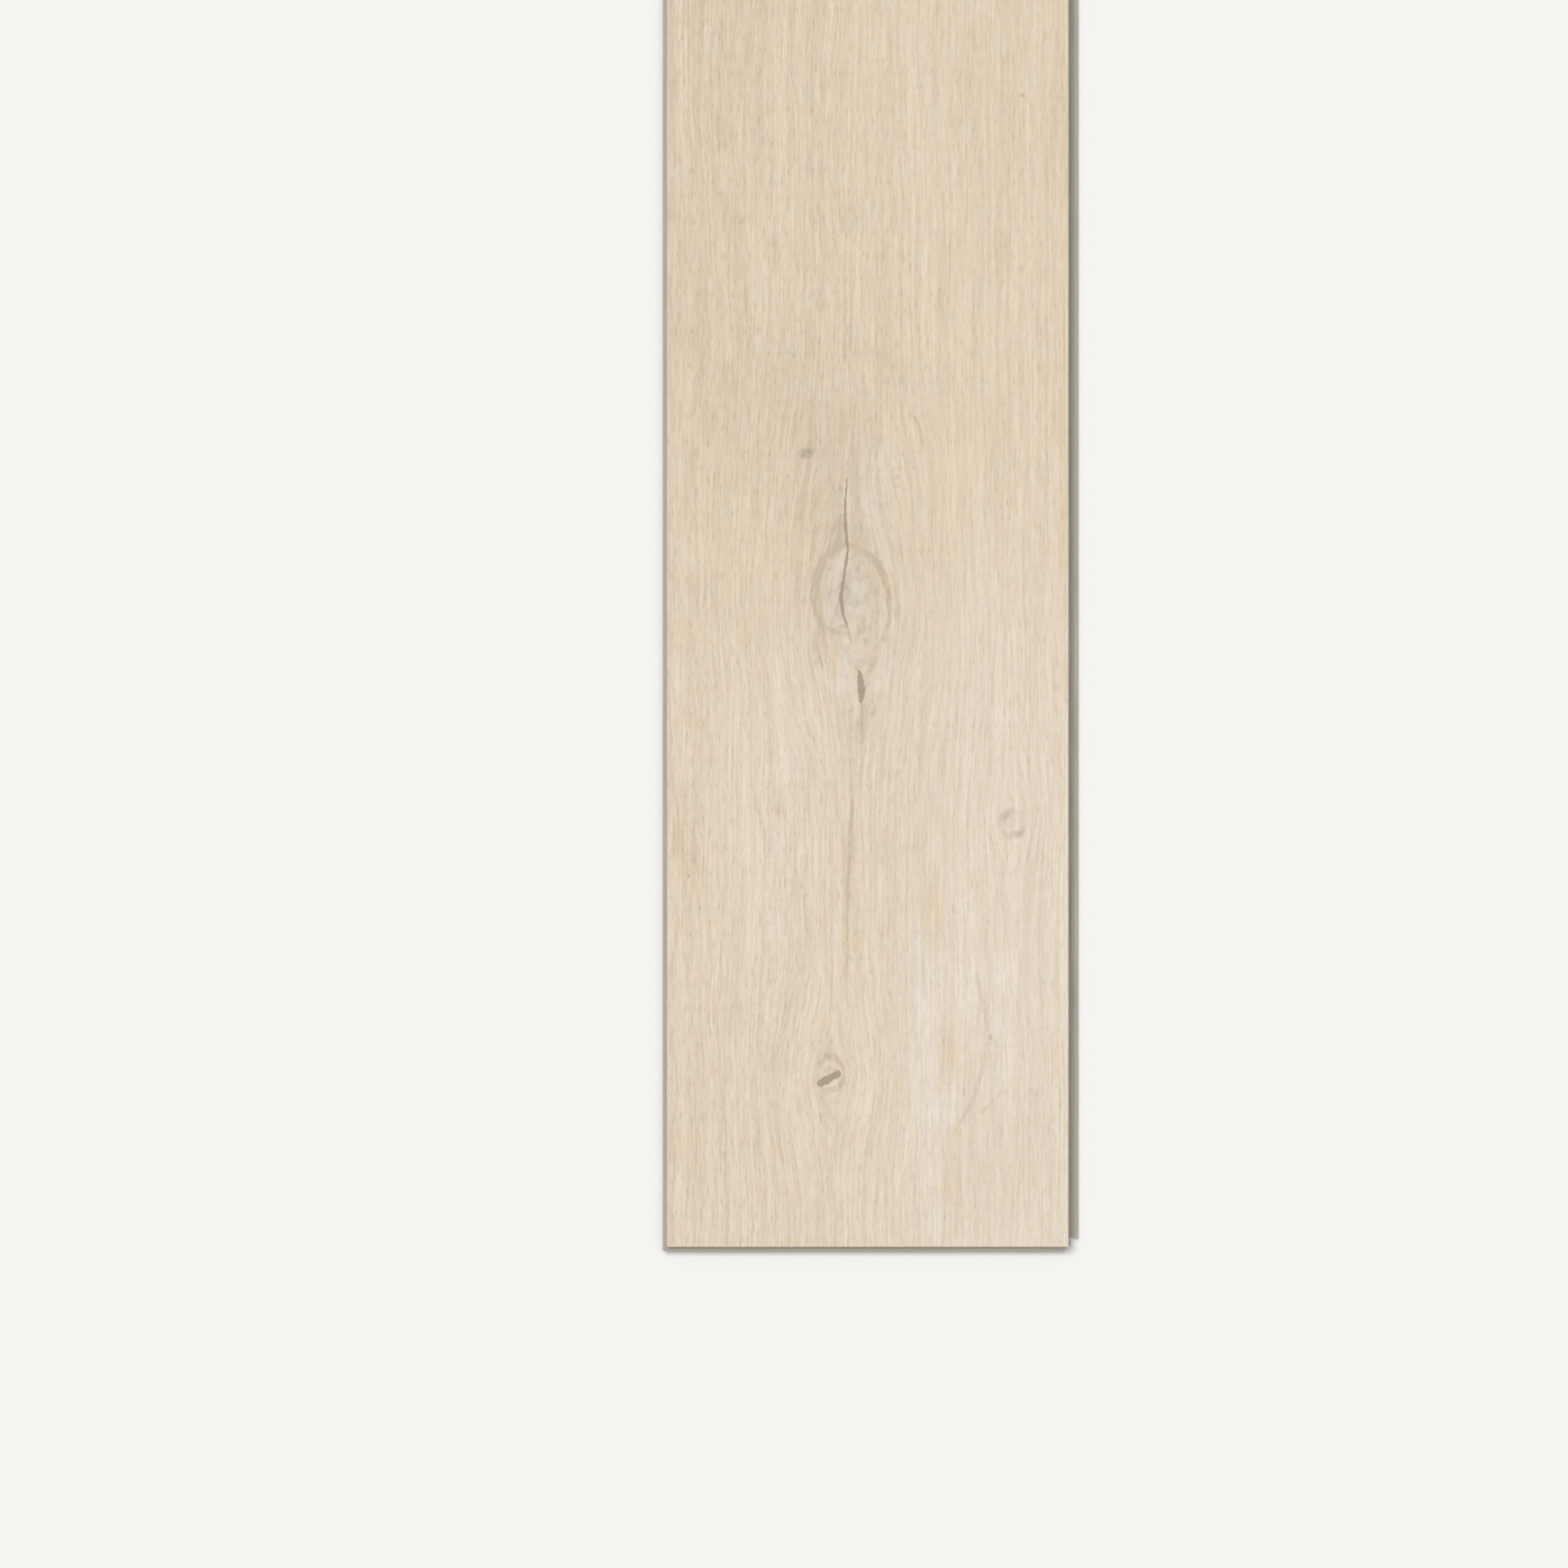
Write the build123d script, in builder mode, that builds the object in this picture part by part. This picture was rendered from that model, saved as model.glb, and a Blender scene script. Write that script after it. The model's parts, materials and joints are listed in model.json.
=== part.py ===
from build123d import *
import os

# Luxury vinyl plank: one rigid board, with a click lock milled along all four edges.
# X runs across the plank, Y along it and Z up. The origin is on the underside,
# below the middle of the decor face. All sizes are in millimetres.

# Board
face_width = 228.6
face_length = 1524.0
thickness = 6.0
edge_bevel = 0.4

# Gap between the lock of a laid plank and that of its neighbour
lock_play = 0.1

# Lower lip of the groove edge: its thickness, and the valley milled across its top
lip_thickness = 1.9
valley_depth = 0.6
lip_radius = 0.25

# Runs along the top of the lip, from the seam out to its tip
ramp_run = 1.2
valley_run = 1.9
flank_run = 0.5
bead_run = 1.1
tip_run = 0.5
tip_drop = 0.6

# Tongue, which stands out of the seam just above the neighbour's lip
tongue_reach = 2.4
tongue_height = 1.7
tongue_taper = 0.25
nose_radius = 0.6

# Levels and distances that follow from these
valley_floor = lip_thickness - valley_depth
tongue_low = lip_thickness + lock_play
tongue_top = tongue_low + tongue_height
valley_start = ramp_run
valley_end = valley_start + valley_run
bead_start = valley_end + flank_run
bead_end = bead_start + bead_run
lip_reach = bead_end + tip_run


# Lock shapes, drawn about a seam at X = 0: the tongue points to -X and the lip to +X

with BuildSketch() as tongue:
    with BuildLine():
        Polyline(
            (0, tongue_low),
            (-tongue_reach, tongue_low),
            (-tongue_reach, tongue_top - tongue_taper),
            (0, tongue_top),
            close=True,
        )
    make_face()
    nose_limit = 0.45 * (tongue_height - tongue_taper)
    fillet(tongue.vertices().group_by(Axis.X)[0], min(nose_radius, nose_limit))

with BuildSketch() as lip:
    with BuildLine():
        FilletPolyline(
            (-tongue_reach, lip_thickness),
            (0, lip_thickness),
            (valley_start, valley_floor),
            (valley_end, valley_floor),
            (bead_start, lip_thickness),
            (bead_end, lip_thickness),
            (lip_reach, lip_thickness - tip_drop),
            (lip_reach, 0),
            radius=lip_radius,
        )
        Polyline((lip_reach, 0), (-tongue_reach, 0), (-tongue_reach, lip_thickness))
    make_face()

# What each shape needs cut out of the neighbour

with BuildSketch() as groove:
    offset(tongue.sketch, amount=lock_play)

with BuildSketch() as lip_seat:
    offset(lip.sketch, amount=lock_play)


def lock_section(span):
    """Section of the board between two opposite seams: tongue at -X, groove and lip at +X."""
    seam = span / 2
    with BuildSketch() as section:
        Rectangle(span, thickness, align=(Align.CENTER, Align.MIN))
        chamfer(section.vertices().group_by(Axis.Y)[-1], edge_bevel)
        with Locations((-seam, 0)):
            add(tongue.sketch)
            add(lip_seat.sketch, mode=Mode.SUBTRACT)
        with Locations((seam, 0)):
            add(lip.sketch)
            add(groove.sketch, mode=Mode.SUBTRACT)
    return section.sketch


long_edges = lock_section(face_width)
short_edges = lock_section(face_length)

# The long edges are milled first, and then the two ends right across them.
# Where a lip meets a lip seat, that leaves a loose crumb at the corner, which falls away.
with BuildPart() as plank:
    with BuildSketch(Plane.XZ):
        add(long_edges)
    extrude(amount=face_length, both=True)
    with BuildSketch(Plane.YZ):
        add(short_edges)
    extrude(amount=face_width, both=True, mode=Mode.INTERSECT)
    add(plank.solids().sort_by(SortBy.VOLUME)[-1], mode=Mode.REPLACE)

plank.part.label = "plank"

os.makedirs("parts", exist_ok=True)
export_step(plank.part, "parts/plank.step")
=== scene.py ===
import json
import math
from collections import namedtuple
from itertools import pairwise

import bmesh
import bpy
from bpy.props import FloatProperty, FloatVectorProperty, IntProperty, PointerProperty
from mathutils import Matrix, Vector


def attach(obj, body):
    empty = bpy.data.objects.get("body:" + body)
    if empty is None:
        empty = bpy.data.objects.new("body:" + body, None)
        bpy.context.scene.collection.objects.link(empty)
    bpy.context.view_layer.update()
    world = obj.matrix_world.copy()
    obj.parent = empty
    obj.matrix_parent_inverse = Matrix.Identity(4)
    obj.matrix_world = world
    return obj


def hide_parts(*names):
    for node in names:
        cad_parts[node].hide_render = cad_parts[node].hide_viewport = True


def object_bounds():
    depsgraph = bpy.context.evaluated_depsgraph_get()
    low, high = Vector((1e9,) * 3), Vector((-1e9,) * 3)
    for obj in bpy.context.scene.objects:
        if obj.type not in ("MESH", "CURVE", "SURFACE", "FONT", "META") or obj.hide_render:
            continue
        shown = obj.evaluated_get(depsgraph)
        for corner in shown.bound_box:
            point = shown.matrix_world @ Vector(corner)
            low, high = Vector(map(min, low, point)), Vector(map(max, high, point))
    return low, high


bl_info = {
    "name": "Vinyl Floor Plank",
    "version": (1, 0, 0),
    "blender": (4, 5, 0),
    "location": "3D View > Sidebar > Plank",
    "description": "Dresses a click-lock vinyl plank with an embossed print of pale oak",
    "category": "Object",
}

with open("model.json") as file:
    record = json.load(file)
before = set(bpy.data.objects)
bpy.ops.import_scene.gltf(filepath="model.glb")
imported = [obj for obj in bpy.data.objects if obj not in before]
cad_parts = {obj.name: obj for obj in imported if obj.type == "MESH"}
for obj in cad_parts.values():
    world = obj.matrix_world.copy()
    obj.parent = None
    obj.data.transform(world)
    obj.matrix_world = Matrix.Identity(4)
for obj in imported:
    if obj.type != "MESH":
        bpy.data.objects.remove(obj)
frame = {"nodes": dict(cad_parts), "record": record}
CAD_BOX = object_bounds()
SEAMS = {mount["name"]: mount["pos_m"] for mount in frame["record"]["mounts"]}

# Where the plank lies in the reference picture, in its pixels
PICTURE_SIDE = 1740
PICTURE_LEFT_SEAM = 740
PICTURE_RIGHT_SEAM = 1186
PICTURE_NEAR_END = 1384

# Face of the plank, in metres
FACE_LEFT = SEAMS["tongue_side"][0]
FACE_RIGHT = SEAMS["groove_side"][0]
FACE_NEAR = SEAMS["tongue_end"][1]
FACE_LEVEL = CAD_BOX[1].z
MIDDLE_Y = (FACE_NEAR + SEAMS["groove_end"][1]) / 2
HALF_LENGTH = MIDDLE_Y - FACE_NEAR
METRES_PER_PIXEL = (FACE_RIGHT - FACE_LEFT) / (PICTURE_RIGHT_SEAM - PICTURE_LEFT_SEAM)

# How far the milling goes in from the seam at the ends, how far the lock goes to both sides
# of the seam, and how far the bevels go in and down from the edges of the face
LOCK_DEPTH = 0.0035
LOCK_REACH = 0.0058
BEVEL_REACH = 0.0005

# Lengths taken as nothing, the least upward part of the normal on level and on embossed faces,
# and the angle from which an edge is sharp
TOUCH = 1e-6
GROUND = 1e-5
LEVEL = 0.99
EMBOSSED = 0.85
SHARP_DEG = 25

# Map through which the export bakes the board's looks, in shares of its width: the face in
# two halves, the backing, and a strip for each edge and each way that its faces look
BAKE_MAP = "OFBake"
HALF_FACE_STRIP = 0.43
BACKING_STRIP = 0.05
EDGE_STRIP = 0.0048
EDGE_STRIP_MARGIN = 0.15
STRIP_GAP = 0.004
BACKING_START = 2 * (HALF_FACE_STRIP + STRIP_GAP)
EDGE_START = BACKING_START + BACKING_STRIP + STRIP_GAP
BEVELLED, UPRIGHT, WAYS = 0, 2, 4

# The print is laid out in millimetres: across from the middle of the plank, and up from
# its tongue end. What turns slowly over it, painted light included, is kept on the mesh, in an
# attribute.
MM = 1000.0
FIGURE_AND_PAINTED_LIGHT = "oak_figure_and_painted_light"
OakLayout = namedtuple("OakLayout", "across up grain ragged splits rings streaks growth ticks")

# A smooth change from low to high as a value goes from start to end
Slope = namedtuple("Slope", "start end low high")

Swell = namedtuple("Swell", "across up reach_across reach_up push")
Stroke = namedtuple("Stroke", "across up across_to up_to half_width half_width_to weight")
Arc = namedtuple("Arc", "across up half_across half_up middle_deg span_deg half_width weight")
Pin = namedtuple("Pin", "across up half_across half_up turn_deg weight")
Patch = namedtuple("Patch", "across up half_across half_up turn_deg tone cool")

# Random marks in the wood: their width and length, and how much smaller detail they carry
Marks = namedtuple("Marks", "width length detail roughness")
WANDER = Marks(48, 120, 1.0, 0.5)
WIGGLE = Marks(9, 26, 1.0, 0.5)
SHIVER = Marks(2.4, 6, 1.0, 0.5)
GROWTH = Marks(1.5, 24, 2.0, 0.6)
TICKS = Marks(0.9, 7, 1.0, 0.6)
LINES = Marks(2.2, 120, 1.0, 0.6)
BANDS = Marks(12, 420, 2.0, 0.5)
CLOUDS = Marks(60, 160, 2.0, 0.5)
WEATHER = Marks(3.0, 24, 2.0, 0.6)
DAPPLE = Marks(3.5, 7, 3.0, 0.6)
SPECKS = Marks(0.8, 1.3, 1.0, 0.5)
FLAMES = Marks(2.6, 34, 2.0, 0.5)
CRUMBLE = Marks(1.8, 3.0, 2.0, 0.5)
BREAKS = Marks(3.0, 5.0, 2.0, 0.5)

# Marks on the other surfaces, in metres
MOTTLE = Marks(0.004, 0.004, 3.0, 0.5)
GRIT = Marks(0.0004, 0.0005, 2.0, 0.5)
CUTTER = Marks(0.0003, 0.05, 1.0, 0.5)
FELT = Marks(0.003, 0.003, 3.0, 0.5)

# How far those marks push the grain and the edges of other marks
SEED_STEP = 100.0
WIGGLE_REACH = 1.2
SHIVER_REACH = 1.2
CRUMBLE_REACH = 1.4
FLAME_REACH_ACROSS = 8.0
FLAME_REACH_UP = 60.0
SPLIT_SOFT = 0.5
RING_SOFT = 1.6
STREAK_SOFT = 0.9
PATCH_INNER, PATCH_OUTER = 0.3, 1.2
MOTTLED_INNER, MOTTLED_OUTER = 0.7, 1.1
PIN_INNER, PIN_OUTER = 0.55, 1.3

# How sharply those marks stand out
GROWTH_CONTRAST = Slope(0.25, 0.75, 0.0, 1.0)
TICKS_CONTRAST = Slope(0.52, 0.78, 0.0, 1.0)
LINES_CONTRAST = Slope(0.3, 0.7, -0.5, 0.5)
BREAKS_CONTRAST = Slope(0.3, 0.55, 0.5, 1.0)

# How much they lighten or darken the wood, or cool its colour
GROWTH_WEIGHT = 0.26
TICKS_WEIGHT = 0.30
LINES_WEIGHT = 0.18
BANDS_WEIGHT = 0.28
CLOUDS_WEIGHT = 0.08
SPECKS_WEIGHT = 0.16
RINGS_WEIGHT = 0.48
STREAKS_WEIGHT = 0.36
WEATHER_WEIGHT = 0.9
DAPPLE_WEIGHT = 0.7
KNOT_MOTTLE_WEIGHT = 0.5

# What turns slowly over the face, between two places across or up
WANDER_ACROSS = Slope(-30, 50, 9.0, 3.5)
CONTRAST_ACROSS = Slope(-70, 60, 1.1, 0.9)
# Painted light: a painted sheen makes the face paler and greyer towards the groove side near the
# tongue end, and painted shade makes it darker and warmer towards the far end
PAINTED_SHEEN_ACROSS = Slope(-110, 110, -0.05, 0.06)
PAINTED_SHADE_UP = Slope(260, 500, 0.02, -0.06)
PAINTED_GREY_SHEEN_ACROSS = Slope(-60, 110, 0.0, 0.22)
PAINTED_GREY_SHEEN_FADE_UP = Slope(200, 480, 1.0, 0.0)
PAINTED_WARM_SHADE_UP = Slope(260, 480, 0.04, -0.06)

# Tone of plain wood, how bright its darkest and palest tones are, and how it cools as it pales
PLAIN_TONE = 0.545
DARKEST, PALEST = 0.74, 1.16
PLAIN_COOL = -0.12
COOL_BY_TONE = 0.8
COOL_BY_TICKS = 0.2

# Shine of the wear layer, and the relief that is too fine for the mesh
SHEEN = 0.3
PLAIN_ROUGHNESS = 0.5
ROUGHNESS_BY_GROWTH = 0.1
ROUGHNESS_BY_SPLIT = 0.2
PORE_STRENGTH = 0.25
PORE_DEPTH = 0.0001

# The other surfaces: their light and dark by their marks, and their roughness
BEVEL_WEAR = Slope(0.45, 0.75, 0.0, 0.5)
BEVEL_ROUGHNESS = Slope(0.2, 0.8, 0.5, 0.65)
CORE_SHADE = Slope(0.3, 0.7, 0.0, 1.0)
CORE_ROUGHNESS = Slope(0.3, 0.7, 0.85, 0.7)
CORE_DARKEST = 0.72
CUTTER_SLANT = 3.0
CUTTER_WEIGHT = 0.5
BACKING_SHADE = Slope(0.35, 0.65, 0.0, 1.0)
BACKING_ROUGHNESS = Slope(0.3, 0.7, 0.8, 0.9)
BACKING_DARKEST = 0.8

# The relief is whole at this many edge margins from the seams
RELIEF_WHOLE = 4.0

# Stage
FLOOR_GAP = 0.0001
FLOOR_ROUGHNESS = 0.9
CAMERA_REACH = 100

# Where the grain swells out round a knot
SWELLS = (
    Swell(-9, 365, 44, 84, 0.40),
    Swell(-9, 371, 24, 38, 0.26),
    Swell(-3, 345, 44, 36, 0.16),
    Swell(-4, 318, 15, 28, 0.22),
    Swell(-27, 334, 7, 14, 0.6),
    Swell(-21, 97, 34, 48, 0.42),
    Swell(-21, 97, 12, 14, 0.40),
    Swell(82, 241, 16, 22, 0.45),
    Swell(-35, 452, 10, 15, 0.35),
    Swell(18, 440, 20, 30, 0.4),
    Swell(46, 842, 22, 36, 0.7),
    Swell(-58, 1105, 14, 24, 0.7),
    Swell(21, 1338, 26, 44, 0.7),
)

# Open splits: points across and up, with half the width of the split there
SPLITS = (
    (
        (-11.8, 437, 0.05), (-12.9, 422, 0.4), (-12.8, 410, 0.6), (-11.4, 397, 0.55),
        (-11.9, 392, 0.5), (-13.6, 381, 0.55), (-15.3, 370, 0.85), (-14.4, 361, 0.6),
        (-12.2, 355, 0.25), (-11.6, 352.5, 0.05),
    ),
    ((-4.8, 327.6, 0.4), (-4.2, 323, 1.4), (-3.5, 317, 1.9), (-3.7, 312.5, 1.2), (-3.8, 310, 0.4)),
    ((-26.8, 93.2, 1.8), (-23.2, 95.2, 2.1), (-20.4, 96.8, 1.7), (-17.2, 98.6, 1.8)),
    ((43.5, 846, 1.2), (48.0, 840, 1.0)),
    ((20.0, 1352, 0.1), (21.5, 1341, 0.8), (20.6, 1330, 0.6), (21.4, 1316, 0.1)),
)

# Dark outlines of the knots
RINGS = (
    Arc(-9.2, 371, 20.6, 31, 170, 58, 2.5, 1.0),
    Arc(-9.2, 371, 20.4, 28, 112, 40, 0.8, 0.8),
    Arc(-9.2, 366, 21.2, 31, 36, 56, 1.5, 1.0),
    Arc(-9.2, 366, 21.8, 33, 345, 60, 0.6, 0.6),
    Arc(-14, 369, 17, 20, 245, 50, 0.5, 0.6),
    Arc(-8, 345, 15, 22, 325, 40, 0.6, 0.6),
    Arc(-21.5, 98.6, 8.0, 9.6, 80, 85, 0.9, 0.9),
    Arc(-21.5, 98.6, 8.2, 9.2, 300, 70, 0.8, 0.9),
    Arc(82, 240.8, 6.6, 7.4, 140, 110, 1.2, 0.7),
    Arc(82, 240.8, 6.2, 7.0, 305, 110, 1.2, 0.7),
    Arc(20, 456, 11, 19, 30, 55, 0.6, 0.8),
    Arc(16.9, 438, 4.2, 5.0, 180, 170, 0.2, 0.35),
    Arc(46, 842, 9, 12, 190, 120, 0.7, 0.8),
    Arc(-58, 1105, 6, 8, 20, 130, 0.6, 0.8),
    Arc(21, 1338, 10, 15, 175, 80, 0.9, 0.9),
    Arc(21, 1338, 10, 15, 0, 70, 0.7, 0.9),
)

# Brown streaks in the grain
STREAKS = (
    Stroke(-12.0, 355, -9.4, 343.5, 0.3, 0.1, 1.0),
    Stroke(-7.6, 330, -5, 327.6, 0.2, 0.5, 0.8),
    Stroke(-3.6, 309, -3.6, 292, 0.3, 0.3, 1.1),
    Stroke(-3.6, 292, -4.0, 262, 0.3, 0.1, 0.6),
    Stroke(-10.5, 306, -9.5, 280, 0.4, 0.6, 0.7),
    Stroke(-9.5, 280, -8.8, 255, 0.6, 0.5, 0.6),
    Stroke(-8.8, 255, -10.8, 221, 0.5, 0.9, 0.9),
    Stroke(-10.8, 221, -11.8, 174, 0.7, 0.5, 1.3),
    Stroke(-11.8, 174, -12.4, 140, 0.5, 0.1, 0.7),
    Stroke(-36, 299, -29, 285, 0.2, 0.6, 0.6),
    Stroke(-29, 285, -24, 269, 0.6, 0.2, 0.5),
    Stroke(-58.6, 289, -55.8, 280, 0.4, 0.3, 0.4),
    Stroke(-63.8, 258, -58.6, 232, 0.3, 0.3, 0.4),
    Stroke(-48.4, 252, -45.6, 238, 0.4, 0.3, 0.4),
    Stroke(-111.5, 270, -103, 213, 0.4, 0.4, 0.5),
    Stroke(62, 154, 69.6, 121, 0.4, 0.9, 0.5),
    Stroke(69.6, 118, 61, 86, 0.9, 0.8, 0.6),
    Stroke(61, 86, 53.5, 72, 0.8, 0.8, 0.6),
    Stroke(76.5, 89, 65, 77, 0.8, 0.8, 0.5),
    Stroke(-15.6, 416, -16, 400, 0.4, 2.2, 0.8),
)

# Pin knots, with the weight of their colour
PINS = (
    Pin(-34.9, 451.6, 4.4, 3.2, 20, 0.45),
    Pin(-33.6, 452.6, 1.8, 1.2, 20, 0.8),
    Pin(-36.6, 450.4, 1.6, 1.3, 20, 0.7),
    Pin(69.7, 119.4, 1.2, 1.5, 0, 0.5),
    Pin(-102.0, 211.2, 0.9, 1.1, 0, 0.55),
    Pin(-95.8, 193.2, 0.8, 0.9, 0, 0.5),
    Pin(16.9, 438.0, 1.6, 1.8, 0, 0.22),
    Pin(79.2, 245.6, 2.4, 3.2, -20, 0.28),
    Pin(84.6, 235.4, 3.2, 1.8, -15, 0.28),
    Pin(-58, 1105, 2.4, 1.9, 30, 0.6),
    Pin(88, 655, 1.1, 1.3, 0, 0.5),
    Pin(-74, 905, 0.9, 1.1, 0, 0.5),
)

# Knots whose wood is mottled rather than streaked
MOTTLED = (
    Pin(-9.4, 370, 20, 29, 0, 1.0),
    Pin(-21.5, 98.6, 8, 9.5, 0, 0.8),
    Pin(82, 240.8, 7, 8, 0, 0.8),
    Pin(-27, 334, 6, 16, 0, 0.6),
)

# Broad patches: how much paler than the rest (or darker, below nothing), and how much cooler
PATCHES = (
    Patch(-25, 490, 60, 50, 0, -0.07, 0.0),
    Patch(-8, 350, 34, 60, 0, -0.09, 0.0),
    Patch(-20, 425, 34, 60, 0, -0.10, 0.0),
    Patch(-14, 404, 9, 14, 0, -0.14, -0.1),
    Patch(4, 430, 17, 24, 0, -0.03, 0.22),
    Patch(-19, 370, 10, 24, 0, -0.12, 0.25),
    Patch(-5, 370, 6, 27, 0, -0.05, 0.40),
    Patch(-9, 338, 8, 12, 0, 0.0, 0.20),
    Patch(-5, 306, 12, 38, 0, -0.09, 0.05),
    Patch(6, 368, 4, 18, 0, -0.14, 0.10),
    Patch(-14.5, 321, 6, 12, 0, 0.06, 0.35),
    Patch(8, 324, 5, 12, 0, 0.06, 0.35),
    Patch(-28, 338, 6, 20, 0, -0.10, -0.14),
    Patch(-48, 326, 9, 26, 0, 0.07, 0.12),
    Patch(-68, 397, 28, 26, 0, 0.09, 0.0),
    Patch(50, 430, 14, 50, 0, 0.08, -0.05),
    Patch(-56, 250, 34, 130, 0, 0.10, 0.10),
    Patch(-57, 150, 30, 140, 0, 0.02, 0.10),
    Patch(-42, 284, 6, 20, -15, 0.06, 0.25),
    Patch(-24, 294, 5, 16, -12, 0.05, 0.20),
    Patch(-106, 232, 9, 44, 8, -0.08, -0.20),
    Patch(-10, 195, 8, 75, 0, -0.10, -0.18),
    Patch(-34.9, 451.6, 7, 6, 0, -0.12, -0.1),
    Patch(-22, 97, 8.5, 9.5, 0, -0.06, 0.25),
    Patch(82, 240.8, 7, 8, 0, -0.08, 0.10),
    Patch(29, 156, 9, 40, 0, 0.04, 0.36),
    Patch(72, 154, 40, 13, 0, 0.02, 0.25),
    Patch(33, 100, 10, 60, 0, 0.06, 0.35),
    Patch(72, 112, 13, 30, 0, 0.04, 0.30),
    Patch(44, 80, 15, 15, 0, 0.02, 0.30),
    Patch(41, 15, 11, 13, 0, 0.02, 0.25),
    Patch(46, 113, 7, 22, 0, -0.14, -0.46),
    Patch(68, 108, 5, 16, 0, -0.12, -0.30),
    Patch(48, 38, 6, 38, 0, -0.14, -0.35),
    Patch(34, 35, 6, 42, 0, 0.02, 0.25),
    Patch(67, 40, 6, 42, 0, -0.10, -0.08),
    Patch(88, 52, 12, 36, 0, -0.07, -0.10),
    Patch(20, 90, 7, 28, -6, 0.0, -0.02),
    Patch(14, 182, 6, 36, 0, -0.06, -0.20),
    Patch(36, 194, 9, 17, 0, -0.04, -0.36),
    Patch(54, 195, 7, 20, 0, 0.02, 0.20),
    Patch(56, 137, 9, 14, 0, 0.04, 0.22),
    Patch(60, 330, 20, 90, 0, 0.02, 0.12),
)


def tint(red, green, blue):
    """A colour as seen on a screen, 0 to 255, as the linear values that shaders take."""

    def linear(level):
        level /= 255
        return level / 12.92 if level <= 0.04045 else ((level + 0.055) / 1.055) ** 2.4

    return linear(red), linear(green), linear(blue)


def colour_setting(name, description, colour):
    return FloatVectorProperty(
        name=name, description=description, default=colour, size=3, min=0, max=1, subtype="COLOR"
    )


def length_setting(name, description, metres):
    return FloatProperty(
        name=name, description=description, default=metres, min=0, subtype="DISTANCE", unit="LENGTH"
    )


def angle_setting(name, description, degrees):
    return FloatProperty(
        name=name, description=description, default=math.radians(degrees), subtype="ANGLE"
    )


class PlankPrint(bpy.types.PropertyGroup):
    """Colours and grain of the printed face"""

    warm: colour_setting("Warm wood", "Wood in its brownest streaks", tint(227, 207.2, 180))
    cool: colour_setting("Cool wood", "Wood in its greyest streaks", tint(226, 215.2, 201.4))
    split: colour_setting("Split", "Inside of the open splits and pin knots", tint(170, 156, 137))
    bevel: colour_setting("Bevel", "Paint on the bevels", tint(205, 186, 160))
    seed: IntProperty(name="Seed", description="Picks another run of grain", default=7, min=0)


class PlankBody(bpy.types.PropertyGroup):
    """Relief of the face, and the look of the board below it"""

    cell_across: length_setting("Cell across", "Mesh size across the face", 0.00076)
    cell_along: length_setting("Cell along", "Mesh size along the face", 0.006)
    grain_depth: length_setting("Grain depth", "Depth of the embossed grain", 0.00012)
    split_depth: length_setting("Split depth", "Depth of the embossed splits", 0.00025)
    edge_margin: length_setting("Edge margin", "Flat rim of the face along the bevels", 0.0006)
    core: colour_setting("Core", "Milled core in the lock", tint(186, 180, 170))
    backing: colour_setting("Backing", "Underside of the plank", tint(150, 147, 142))


class PlankStage(bpy.types.PropertyGroup):
    """Floor, light and camera"""

    floor: colour_setting("Floor", "Colour of the floor", tint(246, 245, 243))
    floor_side: length_setting("Floor side", "Side of the square floor", 12.0)
    camera_height: length_setting("Camera height", "Camera above the face", 5.0)
    world_light: FloatProperty(
        name="World light", description="Strength of the even light", default=0.7, min=0, max=1
    )
    key_light: FloatProperty(
        name="Key light", description="Strength of the lamp", default=1.5, min=0
    )
    key_height: angle_setting("Key height", "Angle of the lamp above the floor", 50)
    key_turn: angle_setting("Key turn", "Turn of the lamp round the plank", -135)
    key_spread: angle_setting("Key spread", "Width of the lamp as seen from the floor", 35)


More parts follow.
